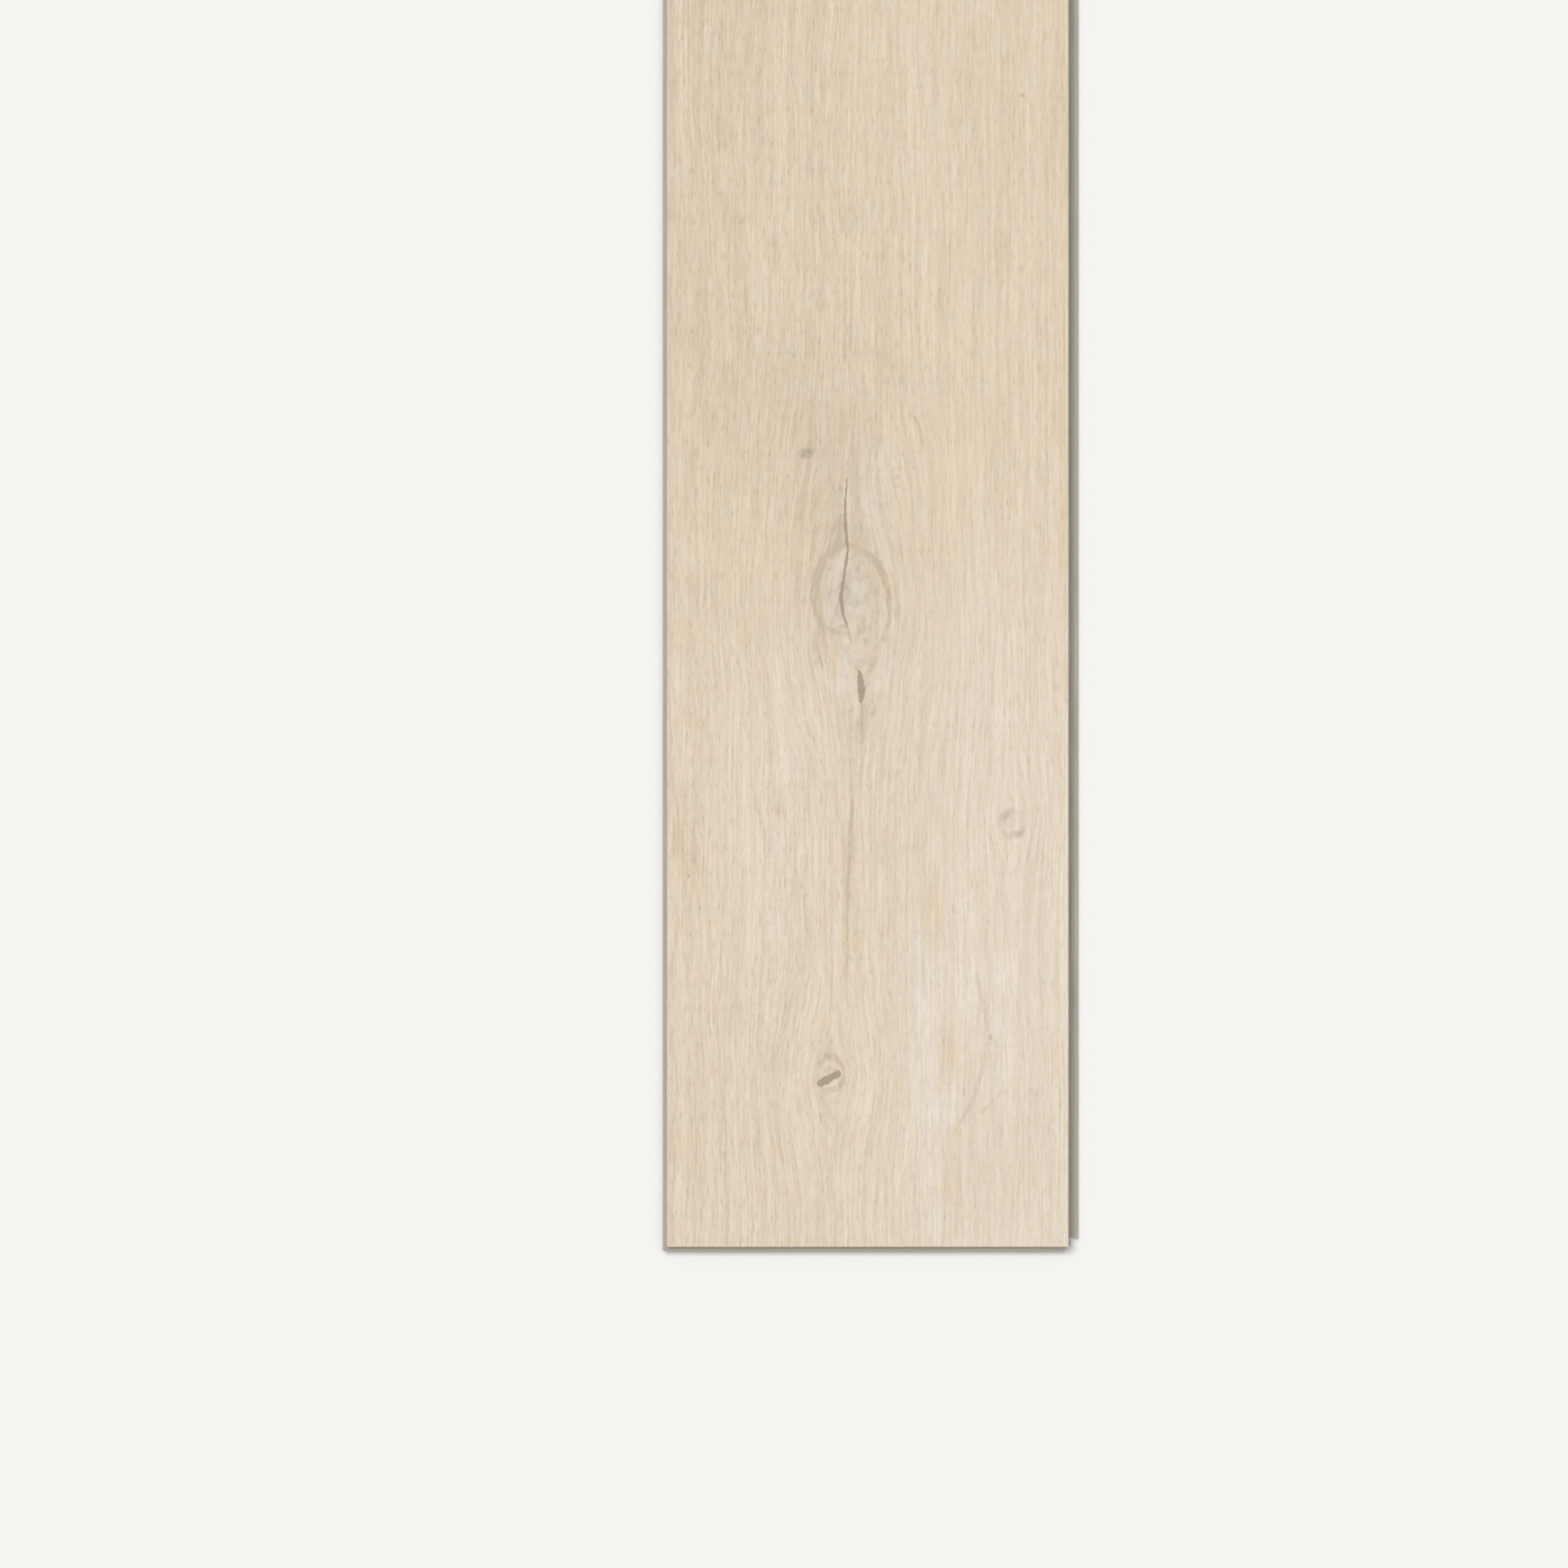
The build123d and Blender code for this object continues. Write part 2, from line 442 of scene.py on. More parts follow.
class Sheet:
    """Adds nodes to a shader or geometry tree, wiring each one as it is made"""

    def __init__(self, tree):
        self.tree = tree

    def node(self, kind, **settings):
        made = self.tree.nodes.new(kind)
        for name, value in settings.items():
            setattr(made, name, value)
        return made

    def feed(self, socket, value):
        if isinstance(value, bpy.types.NodeSocket):
            self.tree.links.new(value, socket)
        else:
            socket.default_value = value

    def fed(self, made, *values):
        for socket, value in zip(made.inputs, values):
            self.feed(socket, value)
        return made

    def math(self, operation, *values, clamp=False):
        made = self.node("ShaderNodeMath", operation=operation, use_clamp=clamp)
        return self.fed(made, *values).outputs[0]

    def vector(self, operation, *values):
        made = self.node("ShaderNodeVectorMath", operation=operation)
        return self.fed(made, *values)

    def gathered(self, operation, values, result=0.0):
        """The sum or the largest of values that are made one by one, which keeps few at hand."""
        for value in values:
            result = self.math(operation, result, value)
        return result

    def part(self, vector, axis):
        """One component of a vector: 0, 1 or 2 for x, y or z."""
        unit = [float(axis == other) for other in range(3)]
        return self.vector("DOT_PRODUCT", vector, unit).outputs["Value"]

    def join(self, x, y, z=0.0):
        return self.fed(self.node("ShaderNodeCombineXYZ"), x, y, z).outputs[0]

    def fade(self, value, start, end, low=0.0, high=1.0):
        """Goes smoothly from low to high as the value goes from start to end."""
        made = self.node("ShaderNodeMapRange", interpolation_type="SMOOTHSTEP")
        return self.fed(made, value, start, end, low, high).outputs[0]

    def noise(self, across, along, marks):
        """Random marks of about this width and length, from 0 to 1 with a mean of a half."""
        made = self.node("ShaderNodeTexNoise", noise_dimensions="2D")
        across = self.math("DIVIDE", across, marks.width)
        along = self.math("DIVIDE", along, marks.length)
        self.feed(made.inputs["Vector"], self.join(across, along))
        made.inputs["Scale"].default_value = 1.0
        made.inputs["Detail"].default_value = marks.detail
        made.inputs["Roughness"].default_value = marks.roughness
        return made.outputs[0]

    def sway(self, across, along, marks, reach):
        """Random marks that go from minus half the reach to half the reach."""
        centred = self.math("SUBTRACT", self.noise(across, along, marks), 0.5)
        return self.math("MULTIPLY", centred, reach)

    def use(self, make, *values):
        """A group node of this tree's kind, made once from the function and then shared."""
        kind = self.tree.bl_idname
        name = f"{make.__name__} in {kind}"
        group = bpy.data.node_groups.get(name) or make(bpy.data.node_groups.new(name, kind))
        made = self.node(kind.replace("NodeTree", "NodeGroup"), node_tree=group)
        return self.fed(made, *values).outputs[0]


def group_sheet(tree, **inputs):
    """Gives a node group its inputs and one result, and returns the sheet and the inputs."""
    kinds = {"vector": "NodeSocketVector", "number": "NodeSocketFloat"}
    for name, kind in inputs.items():
        tree.interface.new_socket(name=name, in_out="INPUT", socket_type=kinds[kind])
    tree.interface.new_socket(name="result", in_out="OUTPUT", socket_type=kinds["number"])
    sheet = Sheet(tree)
    given = sheet.node("NodeGroupInput").outputs
    return sheet, [given[name] for name in inputs]


def group_result(sheet, value):
    sheet.fed(sheet.node("NodeGroupOutput"), value)
    return sheet.tree


def grain_swell(tree):
    """How far the grain is pushed aside by one knot."""
    sheet, (place, centre, reach, push) = group_sheet(
        tree, place="vector", centre="vector", reach="vector", push="number"
    )
    offset = sheet.vector("SUBTRACT", place, centre).outputs[0]
    scaled = sheet.vector("DIVIDE", offset, reach).outputs[0]
    distance_squared = sheet.vector("DOT_PRODUCT", scaled, scaled).outputs["Value"]
    hold = sheet.math("EXPONENT", sheet.math("MULTIPLY", distance_squared, -1.0))
    aside = sheet.math("MULTIPLY", sheet.part(offset, 0), push)
    return group_result(sheet, sheet.math("MULTIPLY", aside, hold))


def brush_stroke(tree):
    """Mask of a straight stroke that tapers from one half width to another."""
    sheet, (place, start, end, half_width, half_width_to, soft) = group_sheet(
        tree, place="vector", start="vector", end="vector",
        half_width="number", half_width_to="number", soft="number",
    )
    run = sheet.vector("SUBTRACT", end, start).outputs[0]
    offset = sheet.vector("SUBTRACT", place, start).outputs[0]
    along = sheet.vector("DOT_PRODUCT", offset, run).outputs["Value"]
    whole = sheet.vector("DOT_PRODUCT", run, run).outputs["Value"]
    share = sheet.math("DIVIDE", along, whole, clamp=True)
    scaled = sheet.node("ShaderNodeVectorMath", operation="SCALE")
    sheet.feed(scaled.inputs["Vector"], run)
    sheet.feed(scaled.inputs["Scale"], share)
    aside = sheet.vector("DISTANCE", offset, scaled.outputs[0]).outputs["Value"]
    growth = sheet.math("SUBTRACT", half_width_to, half_width)
    width = sheet.math("MULTIPLY_ADD", growth, share, half_width)
    outer = sheet.math("ADD", width, soft)
    return group_result(sheet, sheet.fade(aside, width, outer, 1.0, 0.0))


def knot_arc(tree):
    """Mask of a crescent on an ellipse, widest at its middle angle."""
    sheet, (place, centre, half_size, middle, span, half_width, soft) = group_sheet(
        tree, place="vector", centre="vector", half_size="vector",
        middle="number", span="number", half_width="number", soft="number",
    )
    offset = sheet.vector("SUBTRACT", place, centre).outputs[0]
    scaled = sheet.vector("DIVIDE", offset, half_size).outputs[0]
    radius = sheet.vector("LENGTH", scaled).outputs["Value"]
    both_halves = sheet.vector("DOT_PRODUCT", half_size, (1, 1, 0)).outputs["Value"]
    mean_half = sheet.math("MULTIPLY", both_halves, 0.5)
    off_line = sheet.math("ABSOLUTE", sheet.math("SUBTRACT", radius, 1.0))
    distance = sheet.math("MULTIPLY", off_line, mean_half)
    heading = sheet.math("ARCTAN2", sheet.part(scaled, 1), sheet.part(scaled, 0))
    turned = sheet.math("WRAP", sheet.math("SUBTRACT", heading, middle), math.pi, -math.pi)
    share = sheet.math("DIVIDE", turned, span)
    taper = sheet.math("SUBTRACT", 1.0, sheet.math("MULTIPLY", share, share), clamp=True)
    width = sheet.math("MULTIPLY", half_width, taper)
    line = sheet.fade(distance, width, sheet.math("ADD", width, soft), 1.0, 0.0)
    return group_result(sheet, sheet.math("MULTIPLY", line, taper))


def soft_patch(tree):
    """Mask of a turned ellipse, whole inside the inner radius and gone past the outer one."""
    sheet, (place, centre, half_size, turn, inner, outer) = group_sheet(
        tree, place="vector", centre="vector", half_size="vector",
        turn="number", inner="number", outer="number",
    )
    offset = sheet.vector("SUBTRACT", place, centre).outputs[0]
    turned = sheet.node("ShaderNodeVectorRotate", rotation_type="Z_AXIS")
    sheet.feed(turned.inputs["Vector"], offset)
    sheet.feed(turned.inputs["Angle"], turn)
    scaled = sheet.vector("DIVIDE", turned.outputs[0], half_size).outputs[0]
    radius = sheet.vector("LENGTH", scaled).outputs["Value"]
    return group_result(sheet, sheet.fade(radius, inner, outer, 1.0, 0.0))


def patch_mask(sheet, place, patch, inner, outer):
    turn = -math.radians(patch.turn_deg)
    centre = (patch.across, patch.up, 0)
    half_size = (patch.half_across, patch.half_up, 1)
    return sheet.use(soft_patch, place, centre, half_size, turn, inner, outer)


def pin_mask(sheet, place, pins, inner, outer):
    return sheet.gathered("MAXIMUM", (
        sheet.math("MULTIPLY", patch_mask(sheet, place, pin, inner, outer), pin.weight)
        for pin in pins
    ))


def print_place(sheet, position):
    """A position in metres as millimetres across and up the print."""
    across = sheet.math("MULTIPLY", sheet.part(position, 0), MM)
    up = sheet.math("MULTIPLY", sheet.math("SUBTRACT", sheet.part(position, 1), FACE_NEAR), MM)
    return across, up


def oak_figure_and_painted_light(sheet, position, seed):
    """What turns slowly over the print, as a vector: the grain's shift, its tone and its coolness,
    the last two with painted light in them.
    """
    across, up = print_place(sheet, position)
    place = sheet.join(across, up)

    # Grain that wanders, most on the tongue side, and swells round the knots
    loose = sheet.fade(across, *WANDER_ACROSS)
    shift = sheet.math("MULTIPLY", sheet.sway(across, up, WANDER, 1.0), loose)
    shift = sheet.math("ADD", shift, sheet.sway(across, up, WIGGLE, WIGGLE_REACH))
    shift = sheet.math("MULTIPLY_ADD", seed, SEED_STEP, shift)
    shift = sheet.gathered("SUBTRACT", (
        sheet.use(grain_swell, place, (s.across, s.up, 0), (s.reach_across, s.reach_up, 1), s.push)
        for s in SWELLS
    ), shift)
    grain = sheet.math("ADD", across, shift)

    # Bands and clouds of tone, with painted light: a painted sheen paler and greyer towards the
    # groove side near the tongue end, and painted shade darker and warmer towards the far end
    tone = sheet.math("ADD", PLAIN_TONE, sheet.fade(across, *PAINTED_SHEEN_ACROSS))
    tone = sheet.math("ADD", tone, sheet.fade(up, *PAINTED_SHADE_UP))
    tone = sheet.math("ADD", tone, sheet.sway(grain, up, BANDS, BANDS_WEIGHT))
    tone = sheet.math("ADD", tone, sheet.sway(across, up, CLOUDS, CLOUDS_WEIGHT))
    cool = sheet.math("MULTIPLY_ADD", tone, COOL_BY_TONE, PLAIN_COOL)
    painted_grey_sheen = sheet.fade(across, *PAINTED_GREY_SHEEN_ACROSS)
    cool = sheet.math("MULTIPLY_ADD", painted_grey_sheen, sheet.fade(up, *PAINTED_GREY_SHEEN_FADE_UP), cool)
    cool = sheet.math("ADD", cool, sheet.fade(up, *PAINTED_WARM_SHADE_UP))

    # Patches that end in flames along the grain
    flame = sheet.sway(grain, up, FLAMES, 1.0)
    flamed = sheet.join(
        sheet.math("MULTIPLY_ADD", flame, FLAME_REACH_ACROSS, across),
        sheet.math("MULTIPLY_ADD", flame, FLAME_REACH_UP, up),
    )
    for patch in PATCHES:
        mask = patch_mask(sheet, flamed, patch, PATCH_INNER, PATCH_OUTER)
        tone = sheet.math("MULTIPLY_ADD", mask, patch.tone, tone)
        cool = sheet.math("MULTIPLY_ADD", mask, patch.cool, cool)
    return sheet.join(shift, tone, cool)


def lay_out_oak(sheet, position, figure_and_painted_light):
    """The fine parts of the print that its colour and its relief share."""
    across, up = print_place(sheet, position)
    grain = sheet.math("ADD", across, sheet.part(figure_and_painted_light, 0))
    grain = sheet.math("ADD", grain, sheet.sway(across, up, SHIVER, SHIVER_REACH))

    # Marks with crumbled edges
    ragged = sheet.join(
        sheet.math("ADD", across, sheet.sway(across, up, CRUMBLE, CRUMBLE_REACH)),
        sheet.math("ADD", up, sheet.sway(up, across, CRUMBLE, CRUMBLE_REACH)),
    )
    splits = sheet.gathered("MAXIMUM", (
        sheet.use(brush_stroke, ragged, (a[0], a[1], 0), (b[0], b[1], 0), a[2], b[2], SPLIT_SOFT)
        for points in SPLITS
        for a, b in pairwise(points)
    ))
    rings = sheet.gathered("MAXIMUM", (
        sheet.math("MULTIPLY", r.weight, sheet.use(
            knot_arc, ragged, (r.across, r.up, 0), (r.half_across, r.half_up, 1),
            math.radians(r.middle_deg), math.radians(r.span_deg), r.half_width, RING_SOFT,
        ))
        for r in RINGS
    ))
    streaks = sheet.gathered("MAXIMUM", (
        sheet.math("MULTIPLY", s.weight, sheet.use(
            brush_stroke, ragged, (s.across, s.up, 0), (s.across_to, s.up_to, 0),
            s.half_width, s.half_width_to, STREAK_SOFT,
        ))
        for s in STREAKS
    ))
    broken = sheet.fade(sheet.noise(across, up, BREAKS), *BREAKS_CONTRAST)
    rings = sheet.math("MULTIPLY", rings, broken)
    streaks = sheet.math("MULTIPLY", streaks, broken)
    growth = sheet.fade(sheet.noise(grain, up, GROWTH), *GROWTH_CONTRAST)
    ticks = sheet.fade(sheet.noise(grain, up, TICKS), *TICKS_CONTRAST)
    return OakLayout(across, up, grain, ragged, splits, rings, streaks, growth, ticks)


def new_material(name):
    material = bpy.data.materials.new(name)
    material.use_nodes = True
    sheet = Sheet(material.node_tree)
    return material, sheet, material.node_tree.nodes["Principled BSDF"]


def object_position(sheet):
    return sheet.node("ShaderNodeTexCoord").outputs["Object"]


def blend(sheet, share, first, second):
    made = sheet.node("ShaderNodeMix", data_type="RGBA", clamp_factor=True)
    sheet.feed(made.inputs["Factor"], share)
    sheet.feed(made.inputs[6], first)
    sheet.feed(made.inputs[7], second)
    return made.outputs[2]


def opaque(colour):
    return (*colour, 1.0)


def oak_print(settings):
    """Pale oak under a matt wear layer, with painted light in its tone and coolness."""
    material, sheet, shader = new_material("oak_print")
    figure_and_painted_light = sheet.node("ShaderNodeAttribute", attribute_name=FIGURE_AND_PAINTED_LIGHT).outputs["Vector"]
    layout = lay_out_oak(sheet, object_position(sheet), figure_and_painted_light)
    across, up, grain = layout.across, layout.up, layout.grain

    # Light and dark
    growth = sheet.math("MULTIPLY", sheet.math("SUBTRACT", layout.growth, 0.5), GROWTH_WEIGHT)
    tone = sheet.math("MULTIPLY_ADD", layout.ticks, -TICKS_WEIGHT, growth)
    tone = sheet.math("MULTIPLY", tone, sheet.fade(across, *CONTRAST_ACROSS))
    lines = sheet.fade(sheet.noise(grain, up, LINES), *LINES_CONTRAST)
    tone = sheet.math("MULTIPLY_ADD", lines, LINES_WEIGHT, tone)
    tone = sheet.math("ADD", tone, sheet.sway(across, up, SPECKS, SPECKS_WEIGHT))
    mottled = pin_mask(sheet, layout.ragged, MOTTLED, MOTTLED_INNER, MOTTLED_OUTER)
    mottle = sheet.sway(across, up, DAPPLE, KNOT_MOTTLE_WEIGHT)
    tone = sheet.math("MULTIPLY_ADD", mottle, mottled, tone)
    tone = sheet.math("MULTIPLY_ADD", layout.rings, -RINGS_WEIGHT, tone)
    tone = sheet.math("MULTIPLY_ADD", layout.streaks, -STREAKS_WEIGHT, tone)

    # Warm and cool, with the painted sheen and painted shade of the figure
    cool = sheet.math("MULTIPLY_ADD", tone, COOL_BY_TONE, sheet.part(figure_and_painted_light, 2))
    cool = sheet.math("MULTIPLY_ADD", layout.ticks, COOL_BY_TICKS, cool)
    cool = sheet.math("ADD", cool, sheet.sway(grain, up, WEATHER, WEATHER_WEIGHT))
    cool = sheet.math("ADD", cool, sheet.sway(up, across, DAPPLE, DAPPLE_WEIGHT))
    cool = sheet.math("ADD", cool, sheet.sway(up, across, SPECKS, SPECKS_WEIGHT))

    # Painted light from the figure: paler towards the groove side near the tongue end, darker towards
    # the far end
    tone = sheet.math("ADD", tone, sheet.part(figure_and_painted_light, 1))
    brightness = sheet.node("ShaderNodeMapRange")
    sheet.fed(brightness, tone, 0.0, 1.0, DARKEST, PALEST)
    wood = blend(sheet, cool, opaque(settings.warm), opaque(settings.cool))
    lit = sheet.node("ShaderNodeVectorMath", operation="SCALE")
    sheet.feed(lit.inputs["Vector"], wood)
    sheet.feed(lit.inputs["Scale"], brightness.outputs[0])

    pins = pin_mask(sheet, layout.ragged, PINS, PIN_INNER, PIN_OUTER)
    dark = sheet.math("MAXIMUM", layout.splits, pins)
    coloured = blend(sheet, dark, lit.outputs[0], opaque(settings.split))
    sheet.feed(shader.inputs["Base Color"], coloured)

    shader.inputs["Specular IOR Level"].default_value = SHEEN
    rough = sheet.math("MULTIPLY_ADD", layout.growth, ROUGHNESS_BY_GROWTH, PLAIN_ROUGHNESS)
    rough = sheet.math("MULTIPLY_ADD", dark, ROUGHNESS_BY_SPLIT, rough)
    sheet.feed(shader.inputs["Roughness"], rough)
    bump = sheet.node("ShaderNodeBump")
    bump.inputs["Strength"].default_value = PORE_STRENGTH
    bump.inputs["Distance"].default_value = PORE_DEPTH
    sheet.feed(bump.inputs["Height"], sheet.math("SUBTRACT", layout.growth, layout.ticks))
    sheet.feed(shader.inputs["Normal"], bump.outputs[0])
    return material


def bevel_paint(settings):
    """Darker paint on the bevels."""
    material, sheet, shader = new_material("bevel_paint")
    position = object_position(sheet)
    mottle = sheet.noise(sheet.part(position, 0), sheet.part(position, 1), MOTTLE)
    worn = sheet.fade(mottle, *BEVEL_WEAR)
    colour = blend(sheet, worn, opaque(settings.bevel), opaque(settings.warm))
    sheet.feed(shader.inputs["Base Color"], colour)
    sheet.feed(shader.inputs["Roughness"], sheet.fade(mottle, *BEVEL_ROUGHNESS))
    return material


def milled_core(body):
    """Stone-filled core, milled along the edges."""
    material, sheet, shader = new_material("milled_core")
    position = object_position(sheet)
    x, y, z = (sheet.part(position, axis) for axis in range(3))
    grit = sheet.noise(sheet.math("ADD", x, z), y, GRIT)

    # The cutter runs along the sides, and across the plank at its ends
    at_end = sheet.math("GREATER_THAN", sheet.math("ABSOLUTE", y), -FACE_NEAR - LOCK_DEPTH)
    turned = sheet.math("MULTIPLY", sheet.math("SUBTRACT", x, y), at_end)
    along = sheet.math("ADD", y, turned)
    aside = sheet.math("MULTIPLY_ADD", z, CUTTER_SLANT, sheet.math("SUBTRACT", x, turned))
    cutter = sheet.noise(aside, along, CUTTER)
    shade = sheet.math("MULTIPLY", grit, 1.0 - CUTTER_WEIGHT)
    shade = sheet.math("MULTIPLY_ADD", cutter, CUTTER_WEIGHT, shade)
    dark = tuple(level * CORE_DARKEST for level in body.core)
    colour = blend(sheet, sheet.fade(shade, *CORE_SHADE), opaque(dark), opaque(body.core))
    sheet.feed(shader.inputs["Base Color"], colour)
    sheet.feed(shader.inputs["Roughness"], sheet.fade(shade, *CORE_ROUGHNESS))
    return material


def plain_backing(body):
    """Plain underside with a fine cloudy texture."""
    material, sheet, shader = new_material("plain_backing")
    position = object_position(sheet)
    cloud = sheet.noise(sheet.part(position, 0), sheet.part(position, 1), FELT)
    dark = tuple(level * BACKING_DARKEST for level in body.backing)
    colour = blend(sheet, sheet.fade(cloud, *BACKING_SHADE), opaque(dark), opaque(body.backing))
    sheet.feed(shader.inputs["Base Color"], colour)
    sheet.feed(shader.inputs["Roughness"], sheet.fade(cloud, *BACKING_ROUGHNESS))
    return material


def embossing_tree():
    """Geometry Nodes that press the grain into the face and give each surface its material."""
    tree = bpy.data.node_groups.new("Embossed plank", "GeometryNodeTree")
    sockets = tree.interface
    sockets.new_socket(name="Geometry", in_out="INPUT", socket_type="NodeSocketGeometry")
    for name in ("Seed", "Grain depth", "Split depth", "Edge margin"):
        sockets.new_socket(name=name, in_out="INPUT", socket_type="NodeSocketFloat")
    for name in ("Face", "Bevel", "Core", "Backing"):
        sockets.new_socket(name=name, in_out="INPUT", socket_type="NodeSocketMaterial")
    sockets.new_socket(name="Geometry", in_out="OUTPUT", socket_type="NodeSocketGeometry")

    sheet = Sheet(tree)
    given = sheet.node("NodeGroupInput").outputs
    position = sheet.node("GeometryNodeInputPosition").outputs[0]

    # The figure, painted light included, is kept on the mesh, where the print reads it too
    noted = sheet.node("GeometryNodeStoreNamedAttribute", data_type="FLOAT_VECTOR", domain="POINT")
    sheet.feed(noted.inputs["Geometry"], given["Geometry"])
    sheet.feed(noted.inputs["Name"], FIGURE_AND_PAINTED_LIGHT)
    sheet.feed(noted.inputs["Value"], oak_figure_and_painted_light(sheet, position, given["Seed"]))
    named = sheet.node("GeometryNodeInputNamedAttribute", data_type="FLOAT_VECTOR")
    sheet.feed(named.inputs["Name"], FIGURE_AND_PAINTED_LIGHT)
    layout = lay_out_oak(sheet, position, named.outputs["Attribute"])

    # The relief dies out towards the bevels, and leaves every lower surface alone
    x, y, z = (sheet.part(position, axis) for axis in range(3))
    to_side = sheet.math("SUBTRACT", FACE_RIGHT, sheet.math("ABSOLUTE", x))
    off_middle = sheet.math("ABSOLUTE", sheet.math("SUBTRACT", y, MIDDLE_Y))
    to_end = sheet.math("SUBTRACT", HALF_LENGTH, off_middle)
    to_edge = sheet.math("MINIMUM", to_side, to_end)
    edge_end = sheet.math("MULTIPLY", given["Edge margin"], RELIEF_WHOLE)
    inside = sheet.fade(to_edge, given["Edge margin"], edge_end)
    on_face = sheet.math("GREATER_THAN", z, FACE_LEVEL - TOUCH)

    grain = sheet.math("SUBTRACT", 1.0, layout.growth)
    grain = sheet.math("MAXIMUM", grain, layout.rings)
    grain_drop = sheet.math("MULTIPLY", grain, given["Grain depth"])
    split_drop = sheet.math("MULTIPLY", layout.splits, given["Split depth"])
    drop = sheet.math("MAXIMUM", grain_drop, split_drop)
    drop = sheet.math("MULTIPLY", drop, inside)
    pressed = sheet.node("GeometryNodeSetPosition")
    sheet.feed(pressed.inputs["Geometry"], noted.outputs["Geometry"])
    sheet.feed(pressed.inputs["Selection"], on_face)
    sheet.feed(pressed.inputs["Offset"], sheet.join(0.0, 0.0, sheet.math("MULTIPLY", drop, -1.0)))

    realized = sheet.node("GeometryNodeRealizeInstances")
    sheet.feed(realized.inputs[0], pressed.outputs[0])
    facing = sheet.part(sheet.node("GeometryNodeInputNormal").outputs[0], 2)
    high = sheet.math("GREATER_THAN", z, FACE_LEVEL - BEVEL_REACH)
    upwards = sheet.math("GREATER_THAN", facing, EMBOSSED)
    downwards = sheet.math("LESS_THAN", facing, -LEVEL)
    low = sheet.math("LESS_THAN", z, GROUND)
    geometry = realized.outputs[0]
    for name, where in (
        ("Core", True),
        ("Backing", sheet.math("MULTIPLY", downwards, low)),
        ("Bevel", high),
        ("Face", sheet.math("MULTIPLY", high, upwards)),
    ):
        dressed = sheet.node("GeometryNodeSetMaterial")
        sheet.feed(dressed.inputs["Geometry"], geometry)
        sheet.feed(dressed.inputs["Selection"], where)
        sheet.feed(dressed.inputs["Material"], given[name])
        geometry = dressed.outputs[0]
    sheet.fed(sheet.node("NodeGroupOutput"), geometry)
    return tree


def gridded_board(body):
    """A closed copy of the board whose face is a fine grid."""
    mesh = bmesh.new()
    mesh.from_mesh(frame["nodes"]["plank"].data)
    bmesh.ops.remove_doubles(mesh, verts=mesh.verts, dist=TOUCH)
    level = [f for f in mesh.faces if f.normal.z > LEVEL]
    face = [f for f in level if f.calc_center_median().z > FACE_LEVEL - TOUCH]
    bmesh.ops.delete(mesh, geom=face, context="FACES_ONLY")
    bmesh.ops.delete(mesh, geom=[e for e in mesh.edges if e.is_wire], context="EDGES")
    rim = [e for e in mesh.edges if e.is_boundary]

    corners = {v for e in rim for v in e.verts}
    low_x, high_x = min(v.co.x for v in corners), max(v.co.x for v in corners)
    low_y, high_y = min(v.co.y for v in corners), max(v.co.y for v in corners)
    columns = round((high_x - low_x) / body.cell_across)
    rows = round((high_y - low_y) / body.cell_along)
    for edge in rim:
        runs_along = abs(edge.verts[0].co.y - edge.verts[1].co.y) > TOUCH
        bmesh.ops.subdivide_edges(mesh, edges=[edge], cuts=(rows if runs_along else columns) - 1)

    def cell(vert):
        column = round((vert.co.x - low_x) / (high_x - low_x) * columns)
        return column, round((vert.co.y - low_y) / (high_y - low_y) * rows)

    grid = {cell(v): v for e in mesh.edges if e.is_boundary for v in e.verts}
    for column in range(1, columns):
        for row in range(1, rows):
            x = low_x + (high_x - low_x) * column / columns
            y = low_y + (high_y - low_y) * row / rows
            grid[column, row] = mesh.verts.new((x, y, FACE_LEVEL))
    for column in range(columns):
        for row in range(rows):
            steps = ((0, 0), (1, 0), (1, 1), (0, 1))
            mesh.faces.new([grid[column + i, row + j] for i, j in steps])
    bmesh.ops.poke(mesh, faces=[f for f in mesh.faces if len(f.verts) > 4])
    made = bpy.data.meshes.new("printed_plank")
    mesh.to_mesh(made)
    mesh.free()

    # Normals kept from the CAD file would bend the shading of the new face
    kept_normals = made.attributes.get("custom_normal")
    if kept_normals:
        made.attributes.remove(kept_normals)
    return made


def part_way(value, low, high):
    return (value - low) / (high - low)


def edge_spot(place, centre, normal, bevelled):
    """Spot on the map for a point of a bevel or of the lock."""
    low, high = CAD_BOX
    at_side = abs(normal.x) > abs(normal.y)
    if abs(normal.z) > LEVEL:
        at_side = abs(centre.x) - FACE_RIGHT > abs(centre.y - MIDDLE_Y) - HALF_LENGTH
    axis, middle, half = (0, 0.0, FACE_RIGHT) if at_side else (1, MIDDLE_Y, HALF_LENGTH)
    past_seam = abs(place[axis] - middle) - half
    way = BEVELLED if bevelled else UPRIGHT + round(normal.z)
    if way == BEVELLED:
        across = part_way(past_seam, -BEVEL_REACH, 0.0)
    elif way == UPRIGHT:
        across = part_way(place.z, low.z, high.z)
    else:
        across = part_way(past_seam, -LOCK_REACH, LOCK_REACH)
    strip = 2 * (WAYS * axis + way) + (centre[axis] > middle)
    inside = EDGE_STRIP_MARGIN + (1 - 2 * EDGE_STRIP_MARGIN) * across
    along = part_way(place[1 - axis], low[1 - axis], high[1 - axis])
    return EDGE_START + EDGE_STRIP * (strip + inside), along


